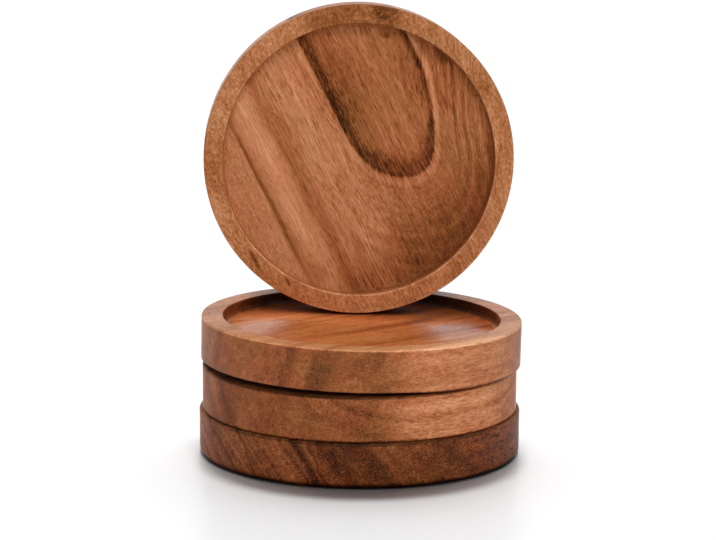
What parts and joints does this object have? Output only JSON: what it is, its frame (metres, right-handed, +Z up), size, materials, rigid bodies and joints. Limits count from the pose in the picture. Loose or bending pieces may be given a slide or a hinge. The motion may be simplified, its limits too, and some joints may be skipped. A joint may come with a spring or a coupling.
{
  "type": "drink coaster set",
  "caption": "Set of round turned wooden drink coasters with raised rims and shallow recesses; three lie stacked and one stands on edge in the top recess.",
  "frame": {"origin": "middle of the flat underside of the bottom coaster, on the table", "axes": "+Z up through the stack, +X to the right and -Y to the front, the way the coaster stood on edge shows its recess"},
  "size_m": [0.1021, 0.1014, 0.1392],
  "materials": {
    "bottom_wood": "oiled acacia, darkest of the set, satin",
    "middle_wood": "oiled acacia, orange brown, satin",
    "top_wood": "oiled acacia, orange brown, satin with a glossier recess floor",
    "standing_wood": "oiled acacia with dark growth rings, satin"
  },
  "bodies": {
    "bottom_coaster": {"bottom_coaster": "bottom_wood"},
    "middle_coaster": {"middle_coaster": "middle_wood"},
    "top_coaster": {"top_coaster": "top_wood"},
    "standing_coaster": {"standing_coaster": "standing_wood"}
  },
  "joints": [
    {"name": "lift_middle", "type": "slide", "parent": "bottom_coaster", "child": "middle_coaster", "axis": [0, 0, 1], "range_m": [0, 0.06]},
    {"name": "lift_top", "type": "slide", "parent": "middle_coaster", "child": "top_coaster", "axis": [0, 0, 1], "range_m": [0, 0.06]},
    {"name": "lift_standing", "type": "slide", "parent": "top_coaster", "child": "standing_coaster", "axis": [0, 0, 1], "range_m": [0, 0.06]}
  ]
}
